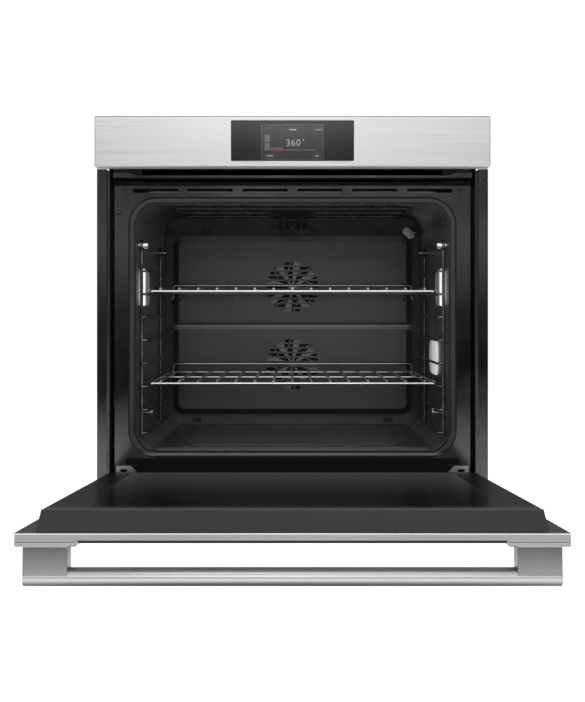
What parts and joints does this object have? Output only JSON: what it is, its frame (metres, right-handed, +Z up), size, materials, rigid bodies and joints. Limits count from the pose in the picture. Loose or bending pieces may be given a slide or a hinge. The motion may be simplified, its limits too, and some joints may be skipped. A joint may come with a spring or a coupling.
{
  "type": "built-in wall oven",
  "caption": "Built-in single electric wall oven with drop-down glazed door, full-width bar handle, convection fans, wire racks and a touch display panel",
  "frame": {"origin": "middle of the base's front, in the plane where the side trims meet the cabinet face", "axes": "+X to the right seen from the front, +Y to the back, +Z up; the part is symmetric about X = 0 apart from the lamps, sensor, switch and cable entry"},
  "size_m": [0.757, 1.1704, 0.7461],
  "materials": {
    "stainless": "horizontal brushed grain, satin",
    "black_enamel": "glossy vitreous enamel with fine pale speckle",
    "black_paint": "satin black powder coat",
    "galvanised": "spangled zinc coating, dull",
    "black_glass": "black-backed glass, gloss",
    "clear_glass": "clear float glass",
    "window_glass": "coated reflective glass with black border",
    "lamp_glass": "frosted pressed glass, lit",
    "chrome_wire": "bright chromium plate",
    "heater_metal": "heat-darkened nickel alloy tube",
    "seal": "grey heat-proof seal, soft sheen",
    "zinc_steel": "bright zinc-plated steel",
    "fan_metal": "pressed aluminised steel",
    "dark_plastic": "moulded heat-proof plastic",
    "screen": "lit display panel",
    "circuit_board": "green solder mask",
    "insulation": "glass-fibre felt"
  },
  "bodies": {
    "chassis": {"bake_element": "heater_metal", "base_pan": "galvanised", "blower_housing": "galvanised", "blower_motor": "zinc_steel", "broil_element": "heater_metal", "broil_hanger": "heater_metal", "cavity_floor_panel": "black_enamel", "cavity_rear_wall": "black_enamel", "cavity_screws": "zinc_steel", "cavity_wrapper": "black_enamel", "control_board": "circuit_board", "control_panel_fascia": "stainless", "convection_elements": "heater_metal", "convection_motors": "zinc_steel", "cooling_duct": "galvanised", "cover_screws": "zinc_steel", "display_glass": "black_glass", "display_module": "screen", "door_gasket": "seal", "door_switch_body": "dark_plastic", "fan_cover": "black_enamel", "front_frame": "black_enamel", "hinge_arms": "zinc_steel", "hinge_receivers": "zinc_steel", "insulation_wrap": "insulation", "lamp_holders": "galvanised", "lamp_lenses": "lamp_glass", "power_board": "circuit_board", "rack_support_left": "chrome_wire", "rack_support_right": "chrome_wire", "rack_support_studs": "chrome_wire", "rear_cover": "galvanised", "side_panel_left": "galvanised", "side_panel_right": "galvanised", "side_trim_left": "black_paint", "side_trim_right": "black_paint", "temperature_sensor": "zinc_steel", "terminal_block": "dark_plastic", "top_cover": "galvanised", "vent_strip": "black_paint"},
    "door": {"door_outer_skin": "stainless", "door_outer_glass": "window_glass", "door_middle_glass": "clear_glass", "door_inner_glass": "window_glass", "door_liner": "black_paint", "door_top_trim": "black_paint", "handle_bar": "stainless", "handle_bracket_left": "stainless", "handle_bracket_right": "stainless", "hinge_channels": "zinc_steel", "hinge_pins": "zinc_steel", "hinge_springs": "zinc_steel"},
    "hinge_rod_pair": {"hinge_rods": "zinc_steel"},
    "upper_rack": {"rack_upper": "chrome_wire"},
    "lower_rack": {"rack_lower": "chrome_wire"},
    "upper_fan": {"fan_wheel_upper": "fan_metal"},
    "lower_fan": {"fan_wheel_lower": "fan_metal"},
    "cooling_fan": {"blower_wheel": "fan_metal"},
    "switch_plunger": {"door_switch_plunger": "dark_plastic"}
  },
  "joints": [
    {"name": "door_hinge", "type": "hinge", "parent": "chassis", "child": "door", "pos_m": [0, -0.006, 0.015], "axis": [-1, 0, 0], "range_deg": [0, 86.4]},
    {"name": "hinge_rod_slide", "type": "slide", "parent": "door", "child": "hinge_rod_pair", "axis": [0, -0.998, 0.0628], "range_m": [0, 0.013]},
    {"name": "upper_rack_slide", "type": "slide", "parent": "chassis", "child": "upper_rack", "axis": [0, 1, 0], "range_m": [-0.25, 0]},
    {"name": "lower_rack_slide", "type": "slide", "parent": "chassis", "child": "lower_rack", "axis": [0, 1, 0], "range_m": [-0.25, 0]},
    {"name": "upper_fan_spin", "type": "hinge", "parent": "chassis", "child": "upper_fan", "pos_m": [0, 0.46, 0.3985], "axis": [0, 1, 0], "continuous": true},
    {"name": "lower_fan_spin", "type": "hinge", "parent": "chassis", "child": "lower_fan", "pos_m": [0, 0.46, 0.2163], "axis": [0, 1, 0], "continuous": true},
    {"name": "cooling_fan_spin", "type": "hinge", "parent": "chassis", "child": "cooling_fan", "pos_m": [0, 0.415, 0.62], "axis": [0, 0, 1], "continuous": true},
    {"name": "door_switch_press", "type": "slide", "parent": "chassis", "child": "switch_plunger", "axis": [0, 1, 0], "range_m": [0, 0.0045]}
  ],
  "couplings": [
    {"joint": "hinge_rod_slide", "follows": "door_hinge", "m_per_rad": 0.0086},
    {"joint": "door_switch_press", "follows": "door_hinge", "m_per_rad": 0.00298}
  ]
}
